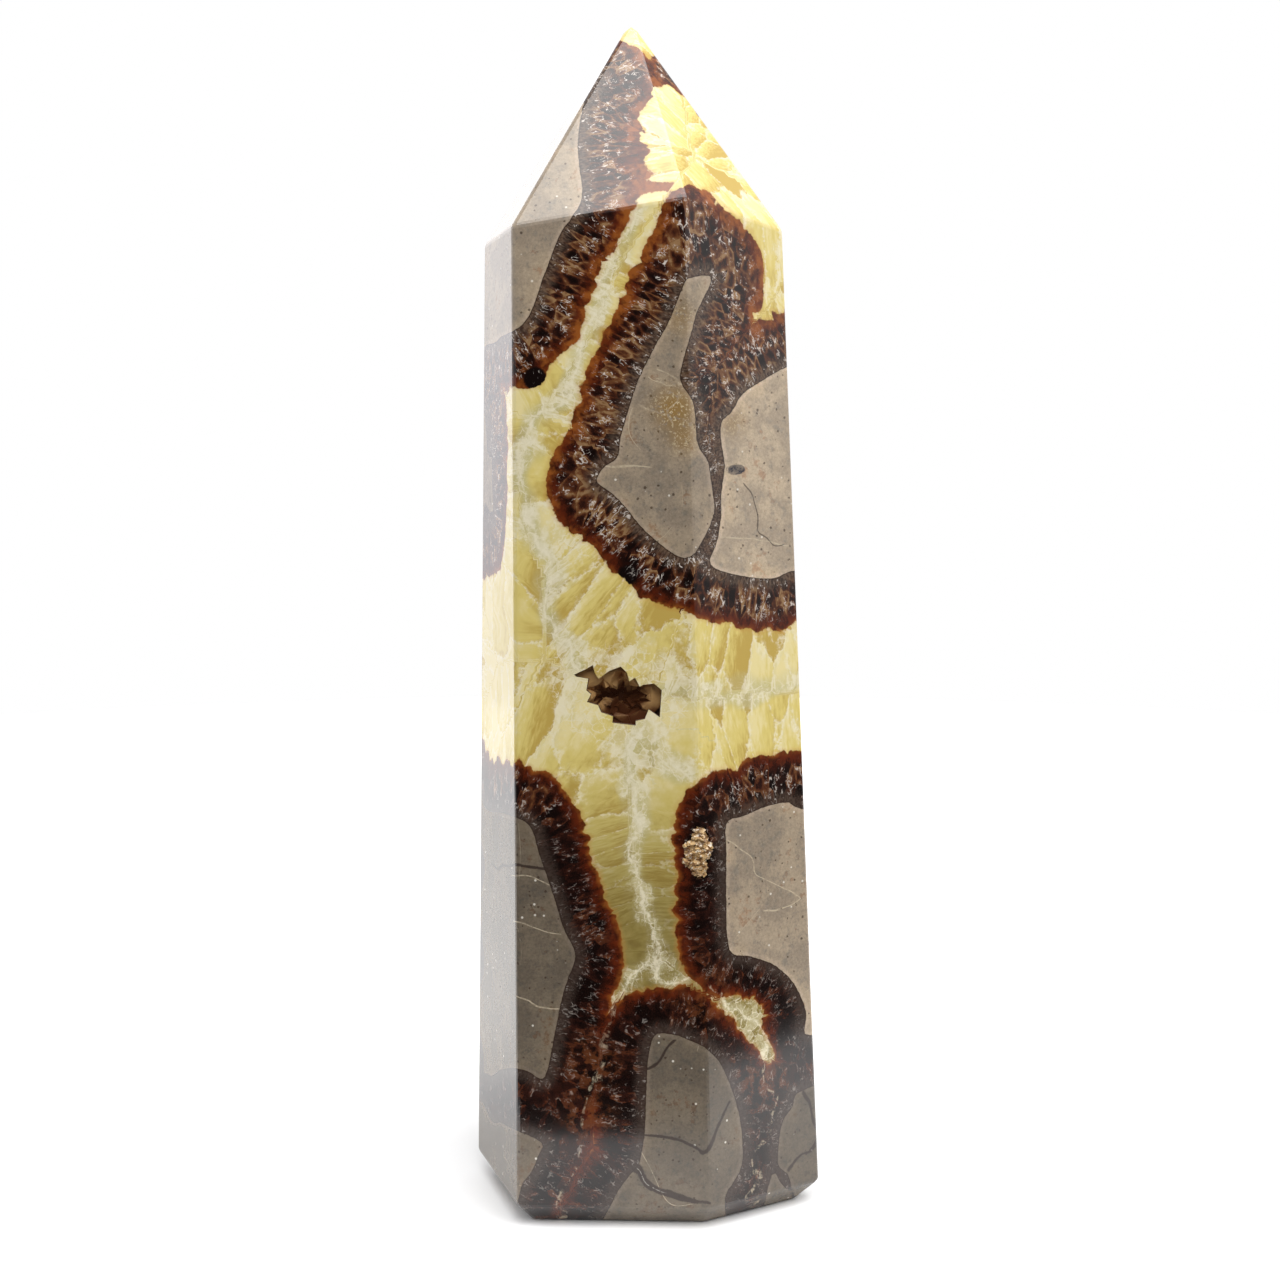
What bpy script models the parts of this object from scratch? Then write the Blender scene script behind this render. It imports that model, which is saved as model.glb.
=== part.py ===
"""Polished six-sided tower cut from a septarian concretion.

The tower stands on its flat base at z = 0 with its length along +Z.
The front side, the one with the open hollow, looks along -Y.
All lengths are in millimetres and become metres where the meshes are made.
"""

import math
import random

import bmesh
import bpy
from mathutils import Matrix, Vector

MM = 0.001

# The six sides: azimuth of the outward normal in degrees, distance from the axis at the base plane,
# and how far the side leans in towards the point, in degrees.
SIDES = {
    "left": (200.0, 24.93, 0.5),
    "front": (268.0, 21.14, 1.7),
    "right": (301.0, 23.45, 2.3),
    "back_right": (23.0, 20.79, 1.9),
    "back": (76.0, 18.31, 1.7),
    "back_left": (140.0, 21.91, 1.5),
}

# Height at which each upright edge ends under the point. The edge is named by the side after it,
# going round as the sides do above.
SHOULDER_HEIGHT = {
    "left": 147.6,
    "front": 148.4,
    "right": 152.5,
    "back_right": 149.0,
    "back": 147.9,
    "back_left": 148.0,
}

# Where the six facets would meet, a little above the rounded tip.
APEX = Vector((-2.1, -2.4, 180.8))
CHAMFER_HEIGHT = 3.5
CHAMFER_INSET = 3.0
EDGE_ROUNDING = 0.45
EDGE_SEGMENTS = 2
BLOCK_WIDTH = 80.0
BLOCK_HEIGHT = 200.0

# The hollow on the front side: centre along the side and up it, and the jagged outline of its mouth
# around that centre, as (along, up) pairs.
VUG_CENTRE = (-3.5, 80.3)
VUG_MOUTH = [
    (-6.6, 3.1), (-4.7, 4.0), (-3.7, 4.6), (-3.4, 3.4), (-2.8, 2.5), (-1.2, 3.7), (0.6, 4.4),
    (1.6, 3.4), (1.9, 2.1), (2.8, 2.7), (3.5, 1.3), (4.1, 1.6), (5.7, 1.8), (6.9, 0.8),
    (6.6, -3.4), (4.9, -2.2), (4.3, -3.7), (2.9, -4.0), (2.9, -4.7), (-0.7, -4.3), (-0.6, -3.3),
    (-2.4, -2.7), (-2.9, -1.6), (-4.6, -1.1), (-4.0, 0.1), (-4.7, 0.7), (-4.4, 2.5), (-6.2, 2.8),
]

# Behind the rim the hollow is a lumpy ellipse that narrows like the inside of a bowl.
VUG_RIM_DEPTH = 1.1
VUG_MOUTH_DEPTH = 1.9
VUG_MOUTH_SCALE = 0.93
VUG_DEPTH = 11.0
VUG_HALF_WIDTH = 7.4
VUG_HALF_HEIGHT = 5.2
VUG_TAPER = math.radians(68.0)
VUG_RINGS = 5
VUG_RING_POINTS = 20

# The small pit on the upright edge between the front and the right side. Its outline is measured
# around the centre, across the view from the front and up the edge.
PIT_HEIGHT = 57.0
PIT_SHIFT = -0.4
PIT_OUTLINE = [
    (-0.2, 4.1), (1.0, 4.0), (2.0, 2.4), (2.2, 0.9), (1.9, -0.6), (1.6, -2.7), (0.9, -4.1),
    (-0.3, -4.2), (-0.8, -2.7), (-1.8, -2.2), (-2.0, -1.4), (-1.6, -0.1), (-2.1, 1.2),
    (-1.3, 1.8), (-0.6, 2.7),
]
PIT_DEPTH = 1.9
PIT_WAIST_DEPTH = 0.95
PIT_WAIST_SCALE = 0.94
PIT_FLOOR_SCALE = 0.72
PIT_BED_DEPTH = 1.05
PIT_BED_SLOPE = 0.15
PIT_NARROWEST = 1.6
PIT_CRUST_SINK = 0.15

# Crusts: the gap to the stone, the thickness of the lining and the crystals on it. A crystal's lean
# is how far it may stray from the way that it points.
GAP = 0.3
LINING = 1.0
VUG_CRYSTALS = 54
VUG_CRYSTAL_SIZE = (1.5, 2.7)
VUG_CRYSTAL_LEAN = 0.45
VUG_CRYSTAL_TAPER = math.radians(80.0)
VUG_MIDDLE_DEPTH = 3.85
VUG_SEED = 4
PIT_CRYSTALS = 26
PIT_CRYSTAL_SIZE = (0.7, 1.2)
PIT_CRYSTAL_LEAN = 0.6
PIT_CRYSTAL_SPREAD = (1.5, 3.4)
PIT_SEED = 11
CRYSTAL_STRETCH = 1.35
GOLDEN_ANGLE = math.pi * (3.0 - math.sqrt(5.0))

# How far a cutter stands out of the stone, and how much wider the air over the pit is than the pit.
OUTSIDE = 3.0
AIR_SCALE = 1.5


def clear_scene():
    for thing in list(bpy.data.objects):
        bpy.data.objects.remove(thing, do_unlink=True)


def make_material(name, colour, roughness):
    material = bpy.data.materials.new(name)
    material.use_nodes = True
    shader = material.node_tree.nodes["Principled BSDF"]
    shader.inputs["Base Color"].default_value = (*colour, 1.0)
    shader.inputs["Roughness"].default_value = roughness
    shader.inputs["Metallic"].default_value = 0.0
    return material


def add_object(name, mesh, material=None):
    """Turn a bmesh in millimetres into an object in metres."""
    bmesh.ops.scale(mesh, vec=(MM, MM, MM), verts=mesh.verts)
    data = bpy.data.meshes.new(name)
    mesh.to_mesh(data)
    mesh.free()
    if material is not None:
        data.materials.append(material)
    thing = bpy.data.objects.new(name, data)
    bpy.context.collection.objects.link(thing)
    return thing


def add_cutter(name, mesh):
    thing = add_object(name, mesh)
    thing.hide_render = True
    thing.display_type = "WIRE"
    return thing


def subtract(thing, cutter):
    """Cut one object by another, whose own shapes may overlap each other."""
    modifier = thing.modifiers.new("cut_" + cutter.name, "BOOLEAN")
    modifier.operation = "DIFFERENCE"
    modifier.solver = "EXACT"
    modifier.use_self = True
    modifier.object = cutter


def side_plane(name):
    """A point on the side at the base plane, and its outward normal."""
    azimuth, distance, lean = SIDES[name]
    turn = math.radians(azimuth)
    tip = math.radians(lean)
    outward = Vector((math.cos(turn), math.sin(turn), 0.0))
    normal = outward * math.cos(tip) + Vector((0.0, 0.0, math.sin(tip)))
    return outward * distance, normal


def edge_point(name, height):
    """Where the upright edge before a side is, at a given height."""
    names = list(SIDES)
    before = names[names.index(name) - 1]
    point_a, normal_a = side_plane(before)
    point_b, normal_b = side_plane(name)
    reach_a = normal_a.dot(point_a) - normal_a.z * height
    reach_b = normal_b.dot(point_b) - normal_b.z * height
    area = normal_a.x * normal_b.y - normal_a.y * normal_b.x
    x = (reach_a * normal_b.y - reach_b * normal_a.y) / area
    y = (reach_b * normal_a.x - reach_a * normal_b.x) / area
    return Vector((x, y, height))


def side_frame(name):
    """Matrix from (along the side, up the side, out of the side) to the tower."""
    point, normal = side_plane(name)
    azimuth = math.radians(SIDES[name][0])
    along = Vector((-math.sin(azimuth), math.cos(azimuth), 0.0))
    up = normal.cross(along)
    frame = Matrix((along, up, normal)).transposed().to_4x4()
    frame.translation = point
    return frame


def edge_frame(name, height):
    """Matrix from (across, up, out) to a point on the upright edge before a side."""
    names = list(SIDES)
    before = names[names.index(name) - 1]
    outward = (side_plane(before)[1] + side_plane(name)[1]).normalized()
    across = Vector((0.0, 0.0, 1.0)).cross(outward).normalized()
    up = outward.cross(across)
    frame = Matrix((across, up, outward)).transposed().to_4x4()
    frame.translation = edge_point(name, height)
    return frame


def slice_off(mesh, point, normal):
    """Saw away what lies outside a plane and close the sawn face."""
    geometry = mesh.verts[:] + mesh.edges[:] + mesh.faces[:]
    bmesh.ops.bisect_plane(
        mesh, geom=geometry, plane_co=point, plane_no=normal, clear_outer=True, dist=1e-4
    )
    rim = [edge for edge in mesh.edges if edge.is_boundary]
    bmesh.ops.holes_fill(mesh, edges=rim, sides=0)


def build_stone(material):
    mesh = bmesh.new()
    block = Matrix.Translation((0.0, 0.0, BLOCK_HEIGHT / 2)) @ Matrix.Diagonal(
        (BLOCK_WIDTH, BLOCK_WIDTH, BLOCK_HEIGHT, 1.0)
    )
    bmesh.ops.create_cube(mesh, size=1.0, matrix=block)

    names = list(SIDES)
    for index, name in enumerate(names):
        point, normal = side_plane(name)
        slice_off(mesh, point, normal)

        after = names[(index + 1) % len(names)]
        shoulder_a = edge_point(name, SHOULDER_HEIGHT[name])
        shoulder_b = edge_point(after, SHOULDER_HEIGHT[after])
        facet_normal = (shoulder_b - shoulder_a).cross(APEX - shoulder_a).normalized()
        slice_off(mesh, APEX, facet_normal)

        outward = Vector((normal.x, normal.y, 0.0)).normalized()
        foot = point - outward * CHAMFER_INSET
        top = point - outward * (CHAMFER_HEIGHT * math.tan(math.radians(SIDES[name][2])))
        top.z = CHAMFER_HEIGHT
        slope = top - foot
        along = Vector((-outward.y, outward.x, 0.0))
        slice_off(mesh, foot, along.cross(slope).normalized())

    bmesh.ops.remove_doubles(mesh, verts=mesh.verts, dist=1e-3)
    bmesh.ops.bevel(
        mesh, geom=mesh.edges[:], offset=EDGE_ROUNDING, offset_type="OFFSET", affect="EDGES",
        segments=EDGE_SEGMENTS, profile=0.5, material=-1, clamp_overlap=True,
    )
    bmesh.ops.recalc_face_normals(mesh, faces=mesh.faces)
    return add_object("stone", mesh, material)


def loft(rings):
    """A closed solid through a stack of rings that all have the same number of points."""
    mesh = bmesh.new()
    loops = []
    for ring in rings:
        corners = [mesh.verts.new(point) for point in ring]
        loops.append([mesh.edges.new(pair) for pair in zip(corners, corners[1:] + corners[:1])])
    for lower, upper in zip(loops, loops[1:]):
        bmesh.ops.bridge_loops(mesh, edges=lower + upper)
    bmesh.ops.contextual_create(mesh, geom=loops[0])
    bmesh.ops.contextual_create(mesh, geom=loops[-1])
    bmesh.ops.recalc_face_normals(mesh, faces=mesh.faces)
    return mesh


def plug(outline, frame, centre, levels):
    """A solid with the given outline, through one section for each (level, scale) pair."""
    rings = []
    for level, scale in levels:
        ring = [
            frame @ Vector((centre[0] + across * scale, centre[1] + up * scale, level))
            for across, up in outline
        ]
        rings.append(ring)
    return loft(rings)


def chamber_ring(share, inset, front):
    """One section of the hollow behind its rim, as a slightly lumpy ellipse."""
    depth = front + (VUG_DEPTH - inset - front) * share
    taper = math.cos(share * VUG_TAPER)
    ring = []
    for index in range(VUG_RING_POINTS):
        turn = 2.0 * math.pi * index / VUG_RING_POINTS
        lump = 1.0 + 0.06 * math.sin(3.0 * turn + 5.0 * share) + 0.04 * math.cos(5.0 * turn)
        across = (VUG_HALF_WIDTH * lump * taper - inset) * math.cos(turn)
        up = (VUG_HALF_HEIGHT * lump * taper - inset) * math.sin(turn)
        ring.append((VUG_CENTRE[0] + across, VUG_CENTRE[1] + up, -depth))
    return ring


def chamber(inset, front):
    """The hollow behind the rim, made smaller all round by the inset."""
    frame = side_frame("front")
    rings = []
    for step in range(VUG_RINGS + 1):
        ring = chamber_ring(step / VUG_RINGS, inset, front)
        rings.append([frame @ Vector(point) for point in ring])
    return loft(rings)


def add_crystal(mesh, root, pointing, size, spin):
    """A calcite rhomb that stands on one corner and points away from its root."""
    upright = Vector((0.0, 0.0, 1.0))
    on_corner = Vector((1.0, 1.0, 1.0)).rotation_difference(upright).to_matrix().to_4x4()
    turn = upright.rotation_difference(pointing).to_matrix().to_4x4()
    stretch = Matrix.Diagonal((1.0, 1.0, CRYSTAL_STRETCH, 1.0))
    place = Matrix.Translation(root) @ turn @ Matrix.Rotation(spin, 4, "Z") @ stretch @ on_corner
    bmesh.ops.create_cube(mesh, size=size, matrix=place)


def vug_crystal_mass():
    """Crystals all over the wall of the hollow, each pointing to the middle of the hollow."""
    rng = random.Random(VUG_SEED)
    middle = Vector((*VUG_CENTRE, -VUG_MIDDLE_DEPTH))
    wall = GAP + LINING
    mesh = bmesh.new()
    for index in range(VUG_CRYSTALS):
        share = (index + 0.5) / VUG_CRYSTALS
        turn = index * GOLDEN_ANGLE
        taper = math.cos(share * VUG_CRYSTAL_TAPER)
        depth = VUG_RIM_DEPTH + (VUG_DEPTH - wall - VUG_RIM_DEPTH) * share
        root = Vector((
            VUG_CENTRE[0] + (VUG_HALF_WIDTH - wall) * taper * math.cos(turn),
            VUG_CENTRE[1] + (VUG_HALF_HEIGHT - wall) * taper * math.sin(turn),
            -depth,
        ))
        stray = Vector((rng.uniform(-1, 1), rng.uniform(-1, 1), rng.uniform(-1, 1)))
        pointing = ((middle - root).normalized() + VUG_CRYSTAL_LEAN * stray).normalized()
        size = rng.uniform(*VUG_CRYSTAL_SIZE)
        add_crystal(mesh, root, pointing, size, rng.uniform(0.0, 2.0 * math.pi))
    mesh.transform(side_frame("front"))
    return mesh


def build_vug(stone, material):
    """Hollow out the stone and line the hollow with its crust."""
    mouth_levels = ((OUTSIDE, 1.0), (-VUG_MOUTH_DEPTH, VUG_MOUTH_SCALE))
    mouth = plug(VUG_MOUTH, side_frame("front"), VUG_CENTRE, mouth_levels)
    subtract(stone, add_cutter("vug_mouth", mouth))
    subtract(stone, add_cutter("vug_hollow", chamber(0.0, VUG_RIM_DEPTH)))

    air = add_cutter("vug_air", chamber(GAP + LINING, -OUTSIDE))
    subtract(air, add_cutter("vug_crystal_mass", vug_crystal_mass()))
    crust = add_object("vug_crystals", chamber(GAP, VUG_RIM_DEPTH + GAP), material)
    subtract(crust, air)


def pit_crystal_mass():
    """Small crystals all over the floor of the pit, pointing out of it."""
    rng = random.Random(PIT_SEED)
    mesh = bmesh.new()
    for index in range(PIT_CRYSTALS):
        share = math.sqrt((index + 0.5) / PIT_CRYSTALS)
        turn = index * GOLDEN_ANGLE
        across = PIT_SHIFT + PIT_CRYSTAL_SPREAD[0] * share * math.cos(turn)
        up = PIT_CRYSTAL_SPREAD[1] * share * math.sin(turn)
        root = Vector((across, up, -PIT_BED_DEPTH - PIT_BED_SLOPE * abs(across)))
        lean = [rng.uniform(-PIT_CRYSTAL_LEAN, PIT_CRYSTAL_LEAN) for axis in "xy"]
        size = rng.uniform(*PIT_CRYSTAL_SIZE)
        spin = rng.uniform(0.0, 2.0 * math.pi)
        add_crystal(mesh, root, Vector((*lean, 1.0)).normalized(), size, spin)
    mesh.transform(edge_frame("right", PIT_HEIGHT))
    return mesh


def build_pit(stone, material):
    """Cut the pit across the edge and fill its floor with its crust of small crystals."""
    frame = edge_frame("right", PIT_HEIGHT)
    centre = (PIT_SHIFT, 0.0)
    pit_levels = (
        (OUTSIDE, 1.0), (-PIT_WAIST_DEPTH, PIT_WAIST_SCALE), (-PIT_DEPTH, PIT_FLOOR_SCALE)
    )
    subtract(stone, add_cutter("pit_hollow", plug(PIT_OUTLINE, frame, centre, pit_levels)))

    air_levels = ((2.0 * OUTSIDE, AIR_SCALE), (-PIT_BED_DEPTH, AIR_SCALE))
    air = add_cutter("pit_air", plug(PIT_OUTLINE, frame, centre, air_levels))
    subtract(air, add_cutter("pit_crystal_mass", pit_crystal_mass()))

    shrink = 1.0 - GAP / PIT_NARROWEST
    crust_levels = [(level + GAP, scale * shrink) for level, scale in pit_levels]
    crust_mesh = plug(PIT_OUTLINE, frame, centre, crust_levels)
    for name in ("front", "right"):
        point, normal = side_plane(name)
        slice_off(crust_mesh, point - PIT_CRUST_SINK * normal, normal)
    crust = add_object("edge_pit_crystals", crust_mesh, material)
    subtract(crust, air)


def main():
    clear_scene()
    stone = build_stone(make_material("septarian", (0.42, 0.33, 0.2), 0.12))
    build_vug(stone, make_material("vug_calcite", (0.3, 0.19, 0.09), 0.3))
    build_pit(stone, make_material("pit_calcite", (0.7, 0.52, 0.32), 0.45))


main()
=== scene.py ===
# %% [markdown]
# # A polished septarian tower
#
# Septarian stone is a ball of grey limestone mud that cracked while it dried. Calcite then grew in the
# cracks: first a brown rind on every wall, then clear yellow crystals, and last a white sugary seam where
# the crystals from both walls met. A lapidary sawed this one into a six-sided point and polished it.
#
# The packed model already has the true shape, so it is loaded first, and nothing here moves or resizes it.

# %% Load the packed model
import math
import random

import bmesh
import bpy
import numpy as np
from mathutils import Matrix, Vector
from mathutils.bvhtree import BVHTree


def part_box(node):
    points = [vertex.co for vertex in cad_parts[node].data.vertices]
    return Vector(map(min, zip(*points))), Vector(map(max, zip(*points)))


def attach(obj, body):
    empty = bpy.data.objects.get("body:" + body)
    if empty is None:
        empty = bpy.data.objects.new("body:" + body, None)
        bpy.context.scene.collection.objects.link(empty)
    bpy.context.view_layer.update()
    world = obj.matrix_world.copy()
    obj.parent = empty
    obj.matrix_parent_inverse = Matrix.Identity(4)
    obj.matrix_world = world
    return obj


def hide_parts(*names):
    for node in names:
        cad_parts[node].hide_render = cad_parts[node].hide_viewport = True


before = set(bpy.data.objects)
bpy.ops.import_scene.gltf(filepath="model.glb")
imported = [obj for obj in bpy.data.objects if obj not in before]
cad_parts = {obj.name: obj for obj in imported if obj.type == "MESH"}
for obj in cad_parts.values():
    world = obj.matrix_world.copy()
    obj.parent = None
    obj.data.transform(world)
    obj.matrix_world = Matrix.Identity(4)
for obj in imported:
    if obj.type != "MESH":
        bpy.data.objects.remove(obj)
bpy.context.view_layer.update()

MM = 0.001

# %% [markdown]
# The camera stands level with the upper half of the stone and looks slightly down on it, as the
# photographer did. Its place decides how a drawing on the stone is read, so it comes before the pattern.

# %% Camera
CAMERA_PLACE = Vector((-0.75, -270.14, 110.88)) * MM
CAMERA_PITCH = math.radians(84.89)
CAMERA_LENS = 48.465


def add_object(name, data):
    item = bpy.data.objects.new(name, data)
    bpy.context.collection.objects.link(item)
    return item


lens = bpy.data.cameras.new("photo_camera")
lens.lens = CAMERA_LENS
lens.sensor_width = 36.0
lens.clip_start = 0.01
camera = add_object("photo_camera", lens)
camera.location = CAMERA_PLACE
camera.rotation_euler = (CAMERA_PITCH, 0.0, 0.0)
bpy.context.scene.camera = camera
print("camera:", [round(value / MM) for value in camera.location], "mm")

# %% [markdown]
# The pattern of a septarian stone can't be one ordinary noise texture, because its three minerals follow
# each other: the rind has the same thickness along every limestone wall, and its crystals stand square to
# the wall. So the limestone blocks are drawn in millimetres, and everything else is worked out
# from the distance to the nearest block.
#
# The blocks in front are drawn on an upright plane 20 mm in front of the tower's middle, as the camera
# sees them. Each has a tone, 1 for the middle grey, and the depth where it ends inside the stone.

# %% Limestone blocks, front
DRAWING_Y = -20.0
FRONT_BLOCKS = {
    "upper_left": dict(tone=1.12, end=1.0, outline=[
        (-6, 170.5), (-8.5, 164.5), (-9.5, 160.5), (-9.5, 157), (-9, 152), (-10.5, 149), (-12, 147),
        (-13.5, 143.5), (-15, 139.5), (-16.5, 135.5), (-19, 133), (-25, 131.5), (-32, 137), (-32, 152),
        (-16, 170)]),
    "centre": dict(tone=1.0, end=-3.0, outline=[
        (6.5, 140.5), (9.5, 140.5), (7.5, 136), (6.5, 132.5), (5, 127), (5.5, 125), (7, 122.5),
        (7.5, 117), (9, 114.5), (9.5, 111.5), (10, 108), (9.5, 105.5), (8, 102.5), (7, 101), (5.5, 100.5),
        (3.5, 101.5), (1, 103.5), (-1, 105.5), (-3, 108), (-5, 110), (-7, 111.5), (-6, 113.5),
        (-4, 115), (-3.5, 118), (-2, 123), (-1, 126), (1.5, 131), (3.5, 134.5), (5.5, 139.5)]),
    "right_upper": dict(tone=1.5, end=2.0, outline=[
        (32, 132), (22, 128.5), (17, 126), (14, 124), (12.5, 121.5), (11, 120), (11, 117), (11.5, 114),
        (11, 109.5), (11, 106.5), (10.5, 103), (9.5, 99.5), (13.5, 98), (18.5, 97.5), (22.5, 99),
        (32, 99)]),
    "right_lower": dict(tone=1.08, end=-1.0, outline=[
        (12, 61.5), (14.5, 62.5), (18, 64), (21, 64.5), (23, 63.5), (33, 61), (34, 34), (24.5, 29.5),
        (24, 32.5), (23.5, 34.5), (22, 37.5), (20, 39.5), (18.5, 40.5), (15.5, 41.5), (12.5, 42.5),
        (12, 50.5), (12, 57)]),
    # the low blocks' darker tones are partly their own colour and partly painted shade towards the foot
    "left_lower": dict(tone=0.46, end=0.0, outline=[
        (-33, 65), (-25, 64), (-19.5, 62.5), (-17.5, 61.5), (-16.5, 60), (-15.5, 56.5), (-13.5, 50.5),
        (-12, 45.5), (-10.5, 42.5), (-10.5, 40.5), (-11.5, 38), (-12.5, 34.5), (-13.5, 29.5),
        (-15, 23), (-17.5, 24), (-20, 24.5), (-33, 26)]),
    "left_foot": dict(tone=0.42, end=4.0, outline=[
        (-34, 19), (-26, 18), (-19.5, 15), (-15.5, 13), (-16, 11), (-17, 8.5), (-18.5, 6.5), (-19, 4.5),
        (-22, -4), (-34, -4)]),
    "foot": dict(tone=0.44, end=-4.0, outline=[
        (1.5, 29.5), (4.5, 29.5), (7, 28.5), (9, 27.5), (11, 25.5), (12, 23.5), (13, 21), (14, 17.5),
        (14.5, 14), (14.5, 9.5), (13, 6.5), (12, 4.5), (10.5, -4), (-7, -4), (-5, 3.5), (-3, 7),
        (-1, 9.5), (-0.5, 11.5), (0, 15), (0.2, 21), (0.5, 26)]),
    "right_foot": dict(tone=0.36, end=1.0, outline=[
        (33, 22.5), (23.5, 21), (22, 18.5), (20.5, 16), (20, 12.5), (20, 9.5), (21.5, 8), (23.5, 4),
        (33, 4)]),
    "foot_chip": dict(tone=0.4, end=-8.0, outline=[(19, 8), (20.5, 6.5), (22, 4.5), (22, -2), (17.5, -2)]),
}
print(len(FRONT_BLOCKS), "blocks drawn in front")

# %% [markdown]
# The photograph doesn't show the back. Its blocks are made up, in the same sizes and with the same gaps,
# as an upright drawing seen along the depth. One more block lies just behind the left edge, where the
# brown rind shows on the left side but not on the front.

# %% Limestone blocks, back
BACK_BLOCKS = {
    "back_upper": dict(tone=0.95, start=11.0, outline=[
        (-22, 150), (-13, 157), (-6, 150), (-8, 138), (-16, 129), (-28, 130), (-34, 142)]),
    "back_tip": dict(tone=1.2, start=6.0, outline=[(3, 172), (9, 162), (9, 153), (3, 155), (0, 163)]),
    "back_right_upper": dict(tone=0.8, start=8.0, outline=[
        (34, 136), (22, 139), (12, 131), (9, 117), (15, 108), (34, 106)]),
    "back_centre": dict(tone=1.1, start=13.0, outline=[
        (-9, 117), (-1, 120), (1, 110), (0, 96), (-6, 88), (-14, 92), (-16, 106)]),
    "back_left": dict(tone=0.7, start=10.0, outline=[
        (-34, 110), (-26, 108), (-24, 98), (-27, 86), (-36, 84)]),
    "back_right_middle": dict(tone=1.0, start=10.0, outline=[
        (34, 88), (23, 90), (15, 82), (14, 68), (21, 58), (34, 58)]),
    "back_low": dict(tone=0.62, start=12.0, outline=[
        (-20, 74), (-9, 72), (-2, 63), (-4, 49), (-13, 42), (-26, 45), (-30, 62)]),
    "back_right_low": dict(tone=0.8, start=9.0, outline=[
        (34, 41), (21, 43), (11, 36), (9, 21), (16, 12), (34, 14)]),
    "back_foot": dict(tone=0.5, start=11.0, outline=[
        (-12, 26), (-3, 22), (-1, 8), (-4, -6), (-22, -6), (-27, 10), (-21, 23)]),
    "left_inside": dict(tone=0.7, start=-7.0, outline=[
        (-44, 126), (-27, 124), (-23.5, 117), (-24, 108), (-28, 103), (-44, 102)]),
}
print(len(BACK_BLOCKS), "blocks made up behind")

# %% [markdown]
# Finer lines are drawn as open paths: the white seams in the yellow calcite, the brown veins through the
# limestone, and its hair-thin cracks. A faint seam counts as lying a little below the surface.

# %% Seams and veins
WHITE_SEAMS = [
    [(-1.5, 151), (-3, 147.5), (-5, 143), (-6, 139), (-8, 134.5), (-9, 131), (-10.5, 127), (-11, 123.5),
     (-14.5, 121), (-17, 118.5), (-17.5, 114), (-17.5, 108.5), (-16, 103.5), (-14, 99), (-14.5, 94.5),
     (-13.5, 91), (-11.5, 87.5), (-10, 85)],
    [(-1, 75.5), (-2, 70.5), (-1.5, 66.5), (-1, 62), (-1.5, 56.5), (-1, 52.5), (0, 48), (1, 44),
     (0.5, 41), (-2.5, 37.5), (-4.5, 34.5), (-6, 31.5), (-6.5, 27), (-7.5, 21.5), (-9, 17.5), (-9, 14),
     (-10, 10), (-12, 6), (-13, 1)],
    [(0.5, 40.5), (4, 38.5), (8, 38), (10.5, 35.5), (13.5, 33.5), (16.5, 31), (18.5, 27), (18, 22.5),
     (19, 19), (17.5, 12.5), (16.5, 8), (15.5, 3)],
]
FAINT_SEAMS = [
    [(3, 81), (5, 81), (9.5, 81.5), (11, 79.5), (14, 80.5), (18, 81.5), (26, 83)],
    [(-0.5, 74), (1, 71.5), (4, 70), (7, 69)],
]
FAINTNESS = 0.55
BACK_SEAMS = [
    [(-2, 172), (-3, 160), (2, 148), (4, 134), (4, 120), (7, 104), (8, 92), (4, 82), (6, 70), (5, 52),
     (2, 38), (4, 24), (7, 10), (6, -2)],
    [(7, 98), (18, 97), (34, 96)],
    [(5, 53), (14, 51), (34, 49)],
    [(4, 82), (-8, 80), (-20, 80), (-36, 78)],
    [(4, 134), (-8, 126), (-20, 120), (-36, 118)],
    [(2, 36), (-12, 34), (-36, 35)],
]
CRACK_LINES = {
    "vein": [
        [(4.5, 29), (3.5, 27.5), (2, 25.5), (0.5, 24.5)],
        [(0, 14), (2.5, 14), (6, 13.5), (8, 12), (9.5, 11.5), (10.5, 14.5), (11.5, 16.5), (13, 19.5)],
        [(-21.5, 55), (-19.5, 55.3), (-17.5, 55), (-15, 55)],
        [(24, 21), (25, 17.5), (25.5, 12), (23.5, 11), (22.5, 10), (21.5, 8.5)]],
    "wide_vein": [[(-1, 9), (0.5, 7), (2.5, 5.7), (4.5, 5), (9.5, 3.5)]],
    "hair": [
        [(12, 59), (14.5, 57.5), (16, 56), (16.5, 53.5), (20.5, 52), (23.5, 50.5)],
        [(17.5, 48), (20, 48.5), (23.5, 50.5)],
        [(-19.5, 53.5), (-17.5, 53.5), (-14.5, 52.5)],
        [(-19.5, 47), (-15.5, 45.5), (-12.5, 45)],
        [(-19.5, 35.5), (-16, 34), (-13, 33)],
        [(-6, 113.5), (-2.5, 114), (1, 113.5)],
        [(11, 103.5), (15.5, 103.5), (17, 103), (21, 102.5)],
        [(-1, 122.5), (1.5, 121.5), (3, 121)],
        [(2, 128), (4.5, 126), (5, 123.5), (3, 121.5), (4, 119.5)],
        [(0.5, 127), (3, 125), (5.5, 125.5)]],
    "dark_hair": [
        [(14, 111.5), (15.5, 109), (16.5, 104.5)],
        [(16.5, 104.5), (18.5, 102.5), (20, 102.8)]],
}
print(len(WHITE_SEAMS), "white seams, and the lines", ", ".join(CRACK_LINES))

# %% [markdown]
# Some places break the rule. The rind looks thicker or thinner where the polished face cuts it at a slant,
# sugary calcite gathers round the hollow and where seams meet, and a few patches are tan, amber or nearly
# black. All of them are round spots: the place across and up the drawing, the radius, and how much is added.

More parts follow.
